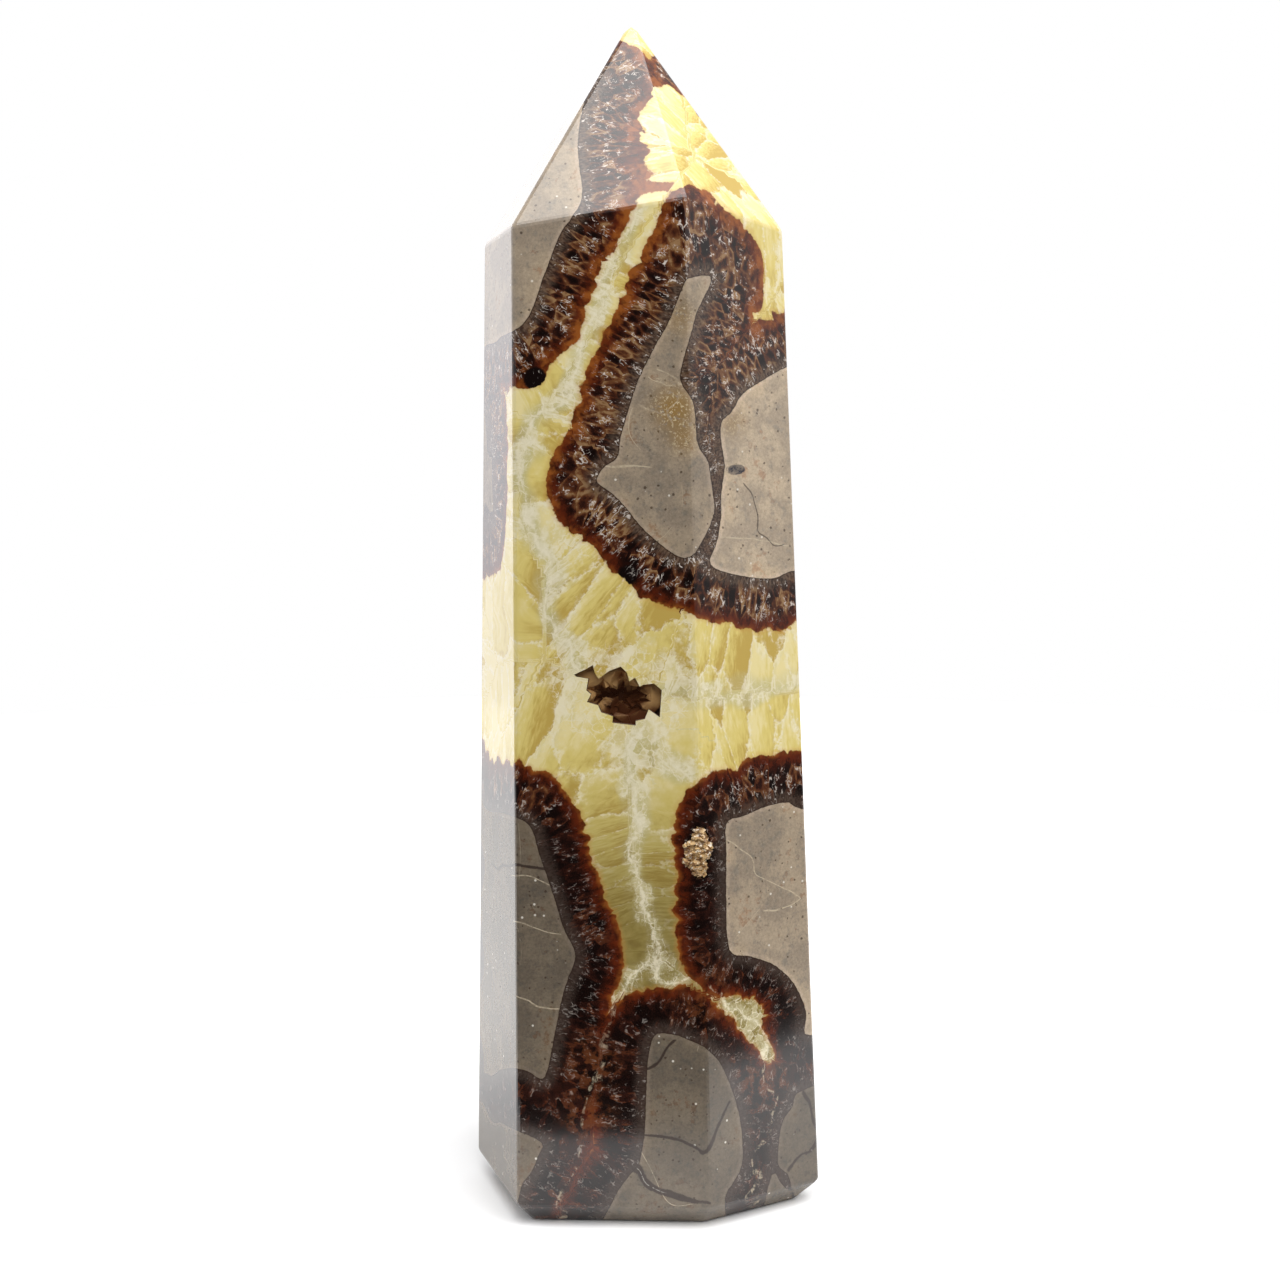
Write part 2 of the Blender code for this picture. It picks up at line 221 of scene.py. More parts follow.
# %% Spots
DARK_GLINT = dict(middle=(13.2, 113.2), half_size=(1.5, 0.8))
SPOTS = {
    "swell": [
        (6, 152.5, 5, 6), (12, 147, 5, 1), (-2, 176, 4, -5), (15, 31.5, 4.5, -2.4), (18.3, 27, 2.4, -1.6),
        (-9, 22, 8, 2.2), (4, 169.5, 1.6, 11), (6, 167.2, 1.6, 11), (8, 164.6, 1.5, 11),
        (14, 133, 2.5, 1.5), (-0.5, 158.5, 3, 2.2), (-15.8, 126, 1.8, 1.8)],
    "sugar": [
        (-3.5, 80.3, 7.5, 0.4), (-6, 140, 2.2, 0.9), (-11, 122.5, 2.6, 0.9), (-10, 102.5, 3.2, 0.7),
        (-1, 73, 3.6, 0.9), (-11, 86, 3.0, 0.8), (4, 82, 3.0, 0.7), (15.5, 31, 4.5, 0.9)],
    "tan": [(4.2, 122, 3.0, 1.0), (5.5, 117.5, 2.0, 0.6), (5, 135, 2.5, 0.5), (12.5, 120, 2.0, 0.5)],
    "amber": [(-8, 25, 3.0, 1.0), (-8.5, 17, 3.0, 0.9), (17, 22, 4.0, 0.6), (9, 35, 4.0, 0.6)],
    "dark": [(-15.8, 126.2, 1.7, 1.3), (-2.5, 98, 2.4, 0.8), (13.5, 118.5, 1.2, 0.8), (-12, 36, 2.5, 0.6)],
}
VUG_MIDDLE = (-3.5, 80.3)
VUG_FROST_REACH = (8.6, 5.8)
VUG_FROST_STEPS = 14
VUG_FROST_RADIUS = 2.0
VUG_FROST_STRENGTH = 0.5
for step_number in range(VUG_FROST_STEPS):
    turn = math.tau * step_number / VUG_FROST_STEPS
    SPOTS["sugar"].append((VUG_MIDDLE[0] + VUG_FROST_REACH[0] * math.cos(turn),
                           VUG_MIDDLE[1] + VUG_FROST_REACH[1] * math.sin(turn),
                           VUG_FROST_RADIUS, VUG_FROST_STRENGTH))
print("spots:", {name: len(rounds) for name, rounds in SPOTS.items()})

# %% [markdown]
# A drawn outline has few points, so a smooth curve is passed through them first. The distance from a
# point of the stone to such a path, and the step that leads there, are plain geometry: the nearest point
# of each short piece in turn. A count of crossings tells the inside of a closed outline.

# %% Curves and distances
CURVE_STEPS = 4
TINY = 1e-9


def smooth_path(points, closed):
    """A Catmull-Rom curve through given points."""
    points = np.array(points, float)
    if closed:
        padded = np.vstack([points[-1:], points, points[:2]])
    else:
        padded = np.vstack([points[:1], points, points[-1:]])
    curve = []
    for a, b, c, d in zip(padded, padded[1:], padded[2:], padded[3:]):
        for t in np.arange(CURVE_STEPS) / CURVE_STEPS:
            curve.append(0.5 * (2 * b + (c - a) * t + (2 * a - 5 * b + 4 * c - d) * t * t
                                + (3 * b - a - 3 * c + d) * t ** 3))
    if not closed:
        curve.append(points[-1])
    return np.array(curve)


def step_to_path(places, path, closed):
    """The step from each place to the nearest point of a path, and whether the place is inside it."""
    ends = np.roll(path, -1, axis=0) if closed else path[1:]
    nearest = np.full(len(places), np.inf)
    step = np.zeros((len(places), 2))
    inside = np.zeros(len(places), bool)
    for start, end in zip(path, ends):
        along = end - start
        share = np.clip((places - start) @ along / max(along @ along, TINY), 0, 1)
        leap = start + share[:, None] * along - places
        length = np.hypot(leap[:, 0], leap[:, 1])
        closer = length < nearest
        nearest[closer] = length[closer]
        step[closer] = leap[closer]
        if closed and start[1] != end[1]:
            between = (places[:, 1] < start[1]) != (places[:, 1] < end[1])
            reach = start[0] + (places[:, 1] - start[1]) / along[1] * along[0]
            inside ^= between & (places[:, 0] < reach)
    return step, inside


print("a block's smooth outline has", len(smooth_path(FRONT_BLOCKS["centre"]["outline"], True)), "points")

# %% [markdown]
# The CAD stone has few, large faces. The pattern is stored on the points of the mesh, so a copy needs
# points a millimetre apart in front, and two behind. Planes cut the copy into a grid with bisect_plane, and
# then subdivide_edges halves whatever is still longer. Where only one edge of a triangle is halved,
# use_single_edge joins the new point to the corner across. Left to triangulate, it could be joined along the
# edge instead, in a triangle of no width.

# %% Stone with fine faces
WELD = 0.001 * MM
SLICE = 5.0 * MM
CRUMB = 0.003 * MM
FINE_EDGE = 0.95 * MM
COARSE_EDGE = 1.9 * MM
FACING_CAMERA = -0.2
HALVINGS = 4


def merged_copy(node):
    """A bmesh of a CAD node, whose loose triangles are joined first."""
    mesh = bmesh.new()
    mesh.from_mesh(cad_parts[node].data)
    bmesh.ops.remove_doubles(mesh, verts=mesh.verts, dist=WELD)
    return mesh


def slice_up(mesh, spacing):
    """Cuts a mesh with planes square to each axis, and merges points that come out almost as one."""
    for axis in range(3):
        normal = Vector((axis == 0, axis == 1, axis == 2))
        reach = [vert.co[axis] for vert in mesh.verts]
        for place in np.arange(min(reach) + spacing, max(reach), spacing):
            geometry = mesh.verts[:] + mesh.edges[:] + mesh.faces[:]
            bmesh.ops.bisect_plane(mesh, geom=geometry, dist=WELD, plane_co=normal * float(place),
                                   plane_no=normal)
    bmesh.ops.remove_doubles(mesh, verts=mesh.verts, dist=CRUMB)


def refine(mesh):
    """Halves long edges, further on the sides that face the camera than on the others."""
    bmesh.ops.triangulate(mesh, faces=mesh.faces[:])
    for _ in range(HALVINGS):
        long_edges = []
        for edge in mesh.edges:
            seen = any(face.normal.y < FACING_CAMERA for face in edge.link_faces)
            if edge.calc_length() > (FINE_EDGE if seen else COARSE_EDGE):
                long_edges.append(edge)
        bmesh.ops.subdivide_edges(mesh, edges=long_edges, cuts=1, use_grid_fill=True, use_single_edge=True)
        bmesh.ops.triangulate(mesh, faces=[face for face in mesh.faces if len(face.verts) > 3])


stone_mesh = merged_copy("stone")
slice_up(stone_mesh, SLICE)
refine(stone_mesh)
print("the stone's copy has", len(stone_mesh.verts), "points")

# %% [markdown]
# Each finished piece stands for one node of the packed model, rides on its body and gets a material of its
# own. The pieces keep flat shading. Every face of a cut stone and of a crystal is truly flat,
# and smoothing would bend the light along the polished edges and round the rim of the hollow.

# %% Stone piece
def add_piece(name, mesh, material, node):
    """Turns a bmesh into a finished piece that stands for a CAD node."""
    data = bpy.data.meshes.new(name)
    mesh.to_mesh(data)
    mesh.free()
    piece = add_object(name, data)
    data.materials.append(material)
    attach(piece, "root")
    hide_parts(node)
    print(name, "has", len(data.polygons), "faces")
    return piece


stone_material = bpy.data.materials.new("polished_septarian")
stone = add_piece("septarian_stone", stone_mesh, stone_material, "stone")

# %% [markdown]
# Every point of the stone now gets its place in the drawing. A straight line of sight runs from the
# camera through the drawing and into the stone, and the blocks follow it, so the drawing fits the photo.
# Deeper in, slow waves bend the blocks, because a real one is no straight bar.

# %% Where each point lies in the drawing
WAVE_COUNT = 7
WAVE_LENGTHS = (11.0, 34.0)
WAVE_SEED = 5
PHASES = (0, 6.28)
BEND_START = -11.0
BEND_GROWTH = 0.13
BEND_MOST = 3.2
DEPTH_BEND = 1.5


def slow_waves(points, seed, lengths=WAVE_LENGTHS):
    """A smooth random value between about -1 and 1, as a sum of sine waves through space."""
    picker = random.Random(seed)
    total = np.zeros(len(points))
    for _ in range(WAVE_COUNT):
        direction = Vector([picker.gauss(0, 1) for _ in range(3)]).normalized()
        length = picker.uniform(*lengths)
        total += np.sin(points @ np.array(direction) * 2 * math.pi / length + picker.uniform(*PHASES))
    return total / math.sqrt(WAVE_COUNT)


points = np.empty(len(stone.data.vertices) * 3)
stone.data.vertices.foreach_get("co", points)
points = points.reshape(-1, 3) / MM
eye = np.array(CAMERA_PLACE) / MM
fan = (points[:, 1] - eye[1]) / (DRAWING_Y - eye[1])
drawing = np.stack([eye[0] + (points[:, 0] - eye[0]) / fan, eye[2] + (points[:, 2] - eye[2]) / fan], 1)
bend = np.clip((points[:, 1] - BEND_START) * BEND_GROWTH, 0, BEND_MOST)
waves = [slow_waves(points, WAVE_SEED + number) for number in range(5)]
drawing[:, 0] += bend * waves[0]
drawing[:, 1] += bend * waves[1]
depth = points[:, 1] + DEPTH_BEND * bend * waves[2]
upright = points[:, [0, 2]] + np.stack(waves[3:], 1)
print("the drawing spans", drawing.min(0).round(), "to", drawing.max(0).round(), "mm")

# %% [markdown]
# The distance to the nearest wall decides the mineral, and the foot of that shortest line, the point of
# the wall where it stands, decides which crystal. Crystals that share a foot are one column, so a texture
# that reads the foot and only slowly the distance gives long columns that stand square to the wall.
#
# A block reaches from the polished face to its end inside the stone. Overshoot is how far a point lies
# beyond that end, and the distance is negative inside a block.

# %% Distance to the walls
FRONT, BACK = 1, -1


def wall_distance(block, places, overshoot, scale, facing):
    """The distance from each point to one block, and the foot of that shortest line."""
    step, inside = step_to_path(places, smooth_path(block["outline"], True), True)
    flat = np.hypot(step[:, 0], step[:, 1]) * np.where(inside, -1, 1)
    beyond = np.maximum(overshoot, 0)
    distance = np.where(flat > 0, np.hypot(flat, beyond), np.where(beyond > 0, beyond, flat))
    distance = np.where((flat <= 0) & (beyond <= 0), np.maximum(flat, overshoot), distance)
    sideways = np.where((flat > 0) | (beyond <= 0), 1.0, 0.0)
    base = points.copy()
    base[:, 0] += step[:, 0] * scale * sideways
    base[:, 2] += step[:, 1] * scale * sideways
    base[:, 1] -= beyond * facing
    return distance, base


blocks = [(block, drawing, depth - block["end"], fan, FRONT) for block in FRONT_BLOCKS.values()]
blocks += [(block, upright, block["start"] - depth, 1.0, BACK) for block in BACK_BLOCKS.values()]
nearest_wall = np.full(len(points), np.inf)
foot = np.zeros((len(points), 3))
tone = np.ones(len(points))
for block, *view in blocks:
    distance, base = wall_distance(block, *view)
    claimed = distance < nearest_wall
    nearest_wall[claimed] = distance[claimed]
    foot[claimed] = base[claimed]
    tone[claimed] = block["tone"]
print("limestone covers", round(100 * float((nearest_wall < 0).mean())), "% of the points")

# %% [markdown]
# The open paths give a step as well, not a distance. A step turns over smoothly where it crosses the
# line, so a line much thinner than the mesh's cells still comes out sharp and even in the render. Short
# waves move the points first, because a crack in stone is never a clean curve. Doing that later, in the
# material, would tear the thinnest lines apart.

# %% Steps to the lines
FRONT_DEPTH = 4.0
FAR = 50.0
SHORT_WAVES = (2.5, 9.0)
LINE_SWAY = 0.32
SEAM_SWAY = 0.8


def swayed(places, amount):
    """Places moved by short waves, so that a line drawn through them comes out crooked."""
    waves = [slow_waves(points, WAVE_SEED + number, SHORT_WAVES) for number in (5, 6)]
    return places + amount * np.stack(waves, 1)


def step_to_paths(places, paths, overshoot):
    """The step to the nearest of several paths, with the overshoot in depth as its third number."""
    best = np.full(len(places), np.inf)
    result = np.full((len(places), 3), FAR)
    for path in paths:
        step, _ = step_to_path(places, smooth_path(path, False), False)
        length = np.hypot(step[:, 0], step[:, 1]) + overshoot
        closer = length < best
        best[closer] = length[closer]
        result[closer] = np.column_stack([step, overshoot])[closer]
    return result


behind = np.maximum(points[:, 1] - FRONT_DEPTH, 0)
before = np.maximum(FRONT_DEPTH - points[:, 1], 0)
crooked = swayed(drawing, LINE_SWAY)
seam_places = swayed(drawing, SEAM_SWAY)
seams = [step_to_paths(seam_places, WHITE_SEAMS, behind),
         step_to_paths(seam_places, FAINT_SEAMS, behind + FAINTNESS),
         step_to_paths(upright, BACK_SEAMS, before)]
nearest_seam = np.argmin([np.linalg.norm(step, axis=1) for step in seams], axis=0)
seam_step = np.choose(nearest_seam[:, None], seams)
print("the widest gap from a seam is", round(float(np.linalg.norm(seam_step, axis=1).max()), 1), "mm")

# %% [markdown]
# Spots fade like a soft brush mark and stay near the front. The walls of the hollow and the pit have to be
# known too, because nobody polished them. They are the only parts that lie inside the stone's convex hull,
# so the depth below a hull, made with convex_hull, tells them from the polished faces.
#
# Everything is then stored on the points as attributes, which the material reads.

# %% The stored pattern
def spots(places, rounds):
    """The sum of round spots that fade outwards."""
    total = np.zeros(len(places))
    for across, up, radius, strength in rounds:
        away = np.hypot(places[:, 0] - across, places[:, 1] - up) / radius
        total += strength * np.exp(-away ** 2)
    return total * np.clip((FRONT_DEPTH - points[:, 1]) / FRONT_DEPTH, 0, 1)


def hollow_depth():
    """How deep each point lies inside the stone's convex hull."""
    hull = bmesh.new()
    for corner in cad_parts["stone"].data.vertices:
        hull.verts.new(corner.co)
    bmesh.ops.convex_hull(hull, input=hull.verts[:])
    tree = BVHTree.FromBMesh(hull)
    hull.free()
    return np.array([tree.find_nearest(Vector(point) * MM)[3] / MM for point in points])


PATTERN = {
    "wall": nearest_wall,
    "foot": foot,
    "tone": tone,
    "seam": seam_step,
    **{name: step_to_paths(crooked, paths, behind) for name, paths in CRACK_LINES.items()},
    "dark_glint": np.column_stack([(drawing - DARK_GLINT["middle"]) / DARK_GLINT["half_size"], behind]),
    **{name: spots(drawing, rounds) for name, rounds in SPOTS.items()},
    "hollow": hollow_depth(),
}
for name, values in PATTERN.items():
    kind, field = ("FLOAT_VECTOR", "vector") if values.ndim == 2 else ("FLOAT", "value")
    attribute = stone.data.attributes.new(name, kind, "POINT")
    attribute.data.foreach_set(field, values.astype(np.float32).ravel())
print("stored on the stone:", ", ".join(PATTERN))

# %% [markdown]
# A material with this many layers is easier to read as formulas than as a drawing of nodes. One small
# class wraps a socket, so that Python's own operators add the Math nodes. Its method rise turns a value into
# a mask with a soft edge between two limits, and a number that multiplies a mask is the strength of a coat.

# %% Formulas for materials
class Term:
    """The output of a node, which Python's operators can work on."""

    def __init__(self, recipe, socket):
        self.recipe = recipe
        self.socket = socket

    def maths(self, operation, *others):
        return self.recipe.node("Math", {"operation": operation}, dict(enumerate((self, *others))))

    def __add__(self, other):
        return self.maths("ADD", other)

    __radd__ = __add__

    def __mul__(self, other):
        return self.maths("MULTIPLY", other)

    __rmul__ = __mul__

    def __sub__(self, other):
        return self.maths("SUBTRACT", other)

    def __rsub__(self, other):
        return self.recipe.node("Math", {"operation": "SUBTRACT"}, {0: other, 1: self})

    def least(self, other):
        return self.maths("MINIMUM", other)

    def most(self, other):
        return self.maths("MAXIMUM", other)

    def magnitude(self):
        return self.maths("ABSOLUTE")

    def rise(self, low, high):
        """0 below low and 1 above high, with a soft change between. Low may be the larger one."""
        settings = {"interpolation_type": "SMOOTHSTEP"}
        if isinstance(low, (int, float)) and isinstance(high, (int, float)) and low > high:
            return 1 - self.rise(high, low)
        return self.recipe.node("MapRange", settings, {"Value": self, "From Min": low, "From Max": high})

    def vectors(self, operation, *others, output=None):
        values = dict(enumerate((self, *others)))
        return self.recipe.node("VectorMath", {"operation": operation}, values, output)

    def scaled(self, factor):
        """A vector made longer or shorter, or a colour made brighter or darker."""
        return self.recipe.node("VectorMath", {"operation": "SCALE"}, {"Vector": self, "Scale": factor})

    def moved(self, other):
        return self.vectors("ADD", other)

    def minus(self, other):
        return self.vectors("SUBTRACT", other)

    def along(self, direction):
        """How far a vector reaches in one direction."""
        return self.vectors("DOT_PRODUCT", direction, output="Value")

    def length(self):
        return self.vectors("LENGTH", output="Value")

    def axis(self, name):
        return self.recipe.node("SeparateXYZ", {}, {"Vector": self}, name)

    def output(self, name):
        return Term(self.recipe, self.socket.node.outputs[name])


print("a term knows:", ", ".join(name for name in vars(Term) if not name.startswith("_")))

# %% [markdown]
# A second class holds the nodes of one material. One method adds any node, and short ones give the textures
# that come back in every mineral. Places are in millimetres, because a stone's grain is measured in them.
# A mineral is painted as coats of colour, each with its mask.

# %% Nodes of one material
class Recipe:
    """The nodes of one material."""

    def __init__(self, material):
        material.use_nodes = True
        self.tree = material.node_tree
        self.tree.nodes.clear()
        self.place = self.node("TexCoord", {}, {}, "Object").scaled(1 / MM)
        self.across = self.place.axis("X")
        self.height = self.place.axis("Z")

    def node(self, kind, settings, values, output=None):
        """Adds a node. Its settings come first, because they decide which sockets it has."""
        node = self.tree.nodes.new("ShaderNode" + kind)
        for name, setting in settings.items():
            setattr(node, name, setting)
        for key, value in values.items():
            if isinstance(key, str):
                socket = next(item for item in node.inputs if item.name == key and item.enabled)
            else:
                socket = node.inputs[key]
            if isinstance(value, Term):
                self.tree.links.new(value.socket, socket)
            else:
                socket.default_value = value
        if not node.outputs:
            return None
        shown = [item for item in node.outputs if item.enabled and output in (None, item.name)]
        return Term(self, shown[0])

    def stored(self, name, output="Fac"):
        return self.node("Attribute", {"attribute_name": name}, {}, output)

    def to_line(self, name):
        """The distance to a stored line."""
        return self.stored(name, "Vector").length()

    def noise(self, size, detail=2.0, roughness=0.5, vector=None):
        values = {"Vector": vector or self.place, "Scale": 1 / size, "Detail": detail, "Roughness": roughness}
        return self.node("TexNoise", {}, values)

    def cells(self, size, vector=None, feature="F1"):
        """Random cells about one size across."""
        values = {"Vector": vector or self.place, "Scale": 1 / size}
        return self.node("TexVoronoi", {"feature": feature}, values)

    def threads(self, size, width, detail=1.0, vector=None):
        """Thin crooked lines, where a noise passes its middle value."""
        away = (self.noise(size, detail=detail, vector=vector) - 0.5).magnitude()
        return away.rise(width, width * 0.4)

    def standing(self, foot, squeeze):
        """The place, pulled towards the foot of its wall, so that cells come out long and square to it."""
        return foot.scaled(1 - squeeze).moved(self.place.scaled(squeeze))

    def edges(self, size, vector):
        """The distance to the nearest edge between two cells, in sizes."""
        return self.cells(size, vector, "DISTANCE_TO_EDGE")

    def chance(self, cells):
        """The random value of each cell."""
        return self.node("SeparateColor", {}, {"Color": cells.output("Color")}, "Red")

    def mix(self, share, first, second):
        values = {"Factor": share, "A": first, "B": second}
        return self.node("Mix", {"data_type": "RGBA"}, values)

    def layers(self, colour, coats):
        """Coats of colour over a first one, from the lowest to the highest, each as strong as its mask."""
        for mask, coat in coats:
            colour = self.mix(mask, colour, coat)
        return colour

    def surface(self, values):
        """The finished surface, which ends the recipe."""
        shader = self.node("BsdfPrincipled", {}, values)
        self.node("OutputMaterial", {}, {"Surface": shader})


def paint(red, green, blue):
    """A colour as it looks on a screen, in steps of 0 to 255, turned into the linear one of a node."""
    linear = [((value / 255 + 0.055) / 1.055) ** 2.4 if value > 10 else value / 255 / 12.92
              for value in (red, green, blue)]
    return (*linear, 1.0)


print("a middle grey for a node:", round(paint(128, 128, 128)[0], 2))

# %% [markdown]
# Limestone is dull taupe mud. Close up it has slow clouds, fine grain, tiny dark specks, a few bright glints
# painted in as highlights, a warmer margin where the calcite has stained it, and hair-thin cracks filled with
# cream calcite.
# The edge of a line is given as the two distances, in millimetres, between which it fades.

# %% Grey limestone
TAUPE = paint(141, 127, 110)
WARM_TAUPE = paint(159, 143, 122)
COOL_TAUPE = paint(122, 114, 103)
STAIN = paint(168, 148, 121)
PINK_MARGIN = paint(182, 162, 142)
RUST = paint(150, 104, 68)
SPECK = paint(56, 40, 32)
GLINT_AND_VEIN_WHITE = paint(232, 226, 214)
CREAM = paint(208, 192, 164)
TAN_CRYSTAL = paint(148, 116, 66)
TAN_GLITTER = paint(222, 206, 168)
VEIN_BROWN = paint(50, 38, 34)
DARK_METAL = paint(44, 44, 54)
CLOUD_SIZE = 6.0
MOTTLE_SIZE = 1.3
GRAIN_SIZE = 0.42
PORE_SPACING = 1.05
GLINT_SPACING = 1.7
GLINT_SHIFT = (40.0, 7.0, 3.0)
WEB_SIZE = 15.0
WEB_WIDTH = 0.0022
HAIR_EDGE = (0.15, 0.04)
DARK_HAIR_EDGE = (0.13, 0.04)
VEIN_EDGE = (0.3, 0.12)
WIDE_VEIN_EDGE = (0.75, 0.5)
VEIN_TAPER = (2.0, 11.0)


def limestone(recipe, wall):
    clouds = recipe.noise(CLOUD_SIZE, detail=5.0, roughness=0.6)
    mottle = recipe.noise(MOTTLE_SIZE, detail=5.0, roughness=0.72)
    fine = recipe.noise(GRAIN_SIZE, detail=3.0, roughness=0.8)
    mud = recipe.layers(TAUPE, [
        (clouds.rise(0.4, 0.6), WARM_TAUPE),
        (mottle.rise(0.5, 0.66) * 0.75, COOL_TAUPE),
        (wall.rise(-2.6, -0.1) * clouds.rise(0.4, 0.6) * 0.5, STAIN),
        (wall.rise(-0.8, -0.2) * mottle.rise(0.38, 0.52) * 0.5, PINK_MARGIN),
        ((clouds + mottle).rise(1.12, 1.24) * 0.4, RUST)])
    pores = recipe.cells(PORE_SPACING)
    size = recipe.chance(pores)
    speck = (pores - 0.2 * size + (fine - 0.5) * 0.3).rise(0.04, -0.04) * size.rise(0.55, 0.57)
    # painted highlights: a few flakes drawn as bright glints in the colour
    flakes = recipe.cells(GLINT_SPACING, recipe.place.moved(GLINT_SHIFT))
    glint = flakes.rise(0.13, 0.07) * recipe.chance(flakes).rise(0.55, 0.57)
    tan = recipe.stored("tan")
    wobble = mottle - 0.5
    web = recipe.threads(WEB_SIZE, WEB_WIDTH, detail=0.0) * clouds.rise(0.46, 0.54) * 0.5
    hair = (recipe.to_line("hair") + wobble * 0.3).rise(*HAIR_EDGE) * 0.72
    dark_hair = (recipe.to_line("dark_hair") + wobble * 0.3).rise(*DARK_HAIR_EDGE)
    thin = (recipe.to_line("vein") + wobble * 0.5).rise(*VEIN_EDGE).most(dark_hair * 0.8)
    taper = recipe.across.rise(*VEIN_TAPER) * 0.45
    wide = recipe.to_line("wide_vein") + wobble * 0.9 + taper
    metal = recipe.to_line("dark_glint") + wobble * 1.2
    # each block's tone, which on the low blocks is partly painted shade
    return recipe.layers(mud.scaled(recipe.stored("tone") * (0.5 + fine)), [
        (speck * 0.7, SPECK),
        (glint * 0.75, GLINT_AND_VEIN_WHITE),
        ((tan * mottle.rise(0.36, 0.44)).least(0.9), TAN_CRYSTAL),
        (tan * fine.rise(0.56, 0.62) * 0.9, TAN_GLITTER),
        (hair.most(web) * (0.25 + 0.75 * mottle.rise(0.42, 0.56)), CREAM),
        (thin.most(wide.rise(*WIDE_VEIN_EDGE)) * 0.88, VEIN_BROWN),
        # the wide vein's own white calcite core, in the same white as the painted glints
        ((wide + taper).rise(0.14, 0.0) * mottle.rise(0.45, 0.55) * 0.7, GLINT_AND_VEIN_WHITE),
        (metal.rise(1.0, 0.8) * (0.6 + 0.4 * mottle.rise(0.4, 0.6)), DARK_METAL)])


print("the limestone's clouds are", CLOUD_SIZE, "mm wide")

# %% [markdown]
# The rind is brown calcite. It starts as a fine grey-brown felt on the wall, then becomes columns one to
# two millimetres wide, near black in the middle with a lighter brown net between them. Short white cracks
# catch the light, and the tips, where light gets through, glow from dark red to amber. The glow reaches
# deeper high on the stone, and low on it the whole rind is painted darker, as shade towards the foot.

# %% Brown rind
FELT = paint(104, 86, 72)
FELT_DARK = paint(56, 43, 36)
FELT_LOW_SHADE = paint(70, 58, 52)
FELT_THICKNESS = 1.5
FELT_SIZE = 0.26
COLUMN_WIDTH = 1.2
COLUMN_SQUEEZE = 0.42
STREAK_SQUEEZE = 0.2
BLOTCH_SIZE = 0.8
STREAK_SIZE = 0.5
PATCH_SIZE = 1.7
BROWNS = [(0.24, (18, 6, 4)), (0.42, (40, 17, 11)), (0.56, (74, 38, 22)), (0.7, (106, 67, 40)),
          (0.86, (146, 113, 78))]
EMBER = paint(96, 36, 13)
AMBER = paint(158, 90, 36)
BLACK_BROWN = paint(16, 6, 5)
DIM_AMBER = paint(112, 62, 32)
FLECK = paint(222, 212, 202)
WALL_LINE = paint(50, 37, 31)
DARK_FROM_TO = (74.0, 56.0)
DEEP_GLOW_FROM_TO = (88.0, 132.0)


def ramp(recipe, value, stops):
    """A run of colours along a value, with a soft change from each stop to the next."""
    return recipe.layers(paint(*stops[0][1]), [
        (value.rise(low, high), paint(*painted)) for (low, _), (high, painted) in zip(stops, stops[1:])])


def rind(recipe, wall, tip, foot, seam, cracks, fine_cracks):
    standing = recipe.standing(foot, COLUMN_SQUEEZE)
    columns = recipe.cells(COLUMN_WIDTH, standing)
    chance = recipe.chance(columns)
    border = recipe.edges(COLUMN_WIDTH, standing).rise(0.3, 0.0)
    blotch = recipe.noise(BLOTCH_SIZE, detail=4.0, roughness=0.7, vector=standing)
    long_columns = recipe.standing(foot, STREAK_SQUEEZE)
    streaks = recipe.noise(STREAK_SIZE, detail=3.0, roughness=0.6, vector=long_columns)
    patchy = recipe.noise(PATCH_SIZE, detail=3.0, roughness=0.6)
    # painted shade: the rind is darker, and its felt greyer, low on the stone
    low_shade = recipe.height.rise(*DARK_FROM_TO)
    inner = tip.rise(0.6, 2.4)
    net = border * inner * (0.3 - 0.22 * low_shade)
    light = chance * 0.42 + net + blotch * (0.8 - 0.25 * low_shade) + patchy * 0.5 + streaks * 0.5
    depth_of_glow = 0.9 + (3.2 * patchy.rise(0.4, 0.68) + blotch) * recipe.height.rise(*DEEP_GLOW_FROM_TO)
    glow = tip.rise(depth_of_glow, -0.1) * (0.15 + 0.85 * (chance * 0.3 + patchy * 1.1).rise(0.5, 0.9))
    felt = recipe.mix(recipe.noise(FELT_SIZE, detail=2.0, vector=standing).rise(0.35, 0.65), FELT_DARK,
                      recipe.mix(low_shade, FELT, FELT_LOW_SHADE))
    shards = cracks * blotch.rise(0.48, 0.56) * patchy.rise(0.46, 0.56)
    stars = fine_cracks * (patchy * 0.6 + streaks * 0.4).rise(0.54, 0.62)
    white = (seam + (patchy - 0.5) * 1.8).rise(0.35, 0.0) * blotch.rise(0.47, 0.6)
    return recipe.layers(ramp(recipe, light - 0.72 - 0.02 * low_shade - recipe.stored("dark"), BROWNS), [
        (tip.rise(2.8, 0.5) * (0.35 + 0.6 * blotch.rise(0.38, 0.6)), EMBER),
        (glow * 0.8, AMBER),
        ((recipe.stored("amber") * patchy.rise(0.42, 0.6)).least(0.5), DIM_AMBER),
        (recipe.stored("dark").rise(0.35, 0.62), BLACK_BROWN),
        (wall.rise(FELT_THICKNESS * 1.7, FELT_THICKNESS * 0.3) * 0.85, felt),
        (shards.most(stars * 0.7) * inner * (0.9 - 0.68 * low_shade), FLECK),
        (white * 0.45, CREAM),
        (wall.rise(0.2, 0.1) * 0.8, WALL_LINE)])


print("rind columns are about", COLUMN_WIDTH, "mm wide")

# %% [markdown]
# The yellow calcite fills the rest of the crack. Its crystals are larger, about three millimetres across
# and four times as long. Each has its own honey or lemon tone with faint growth streaks. Near the seams and
# round the hollow they are broken into small flakes. Frost, a ragged skin of tiny cracks and grains, whitens
# their borders, and close to a seam the calcite is as grey and clear as glass.

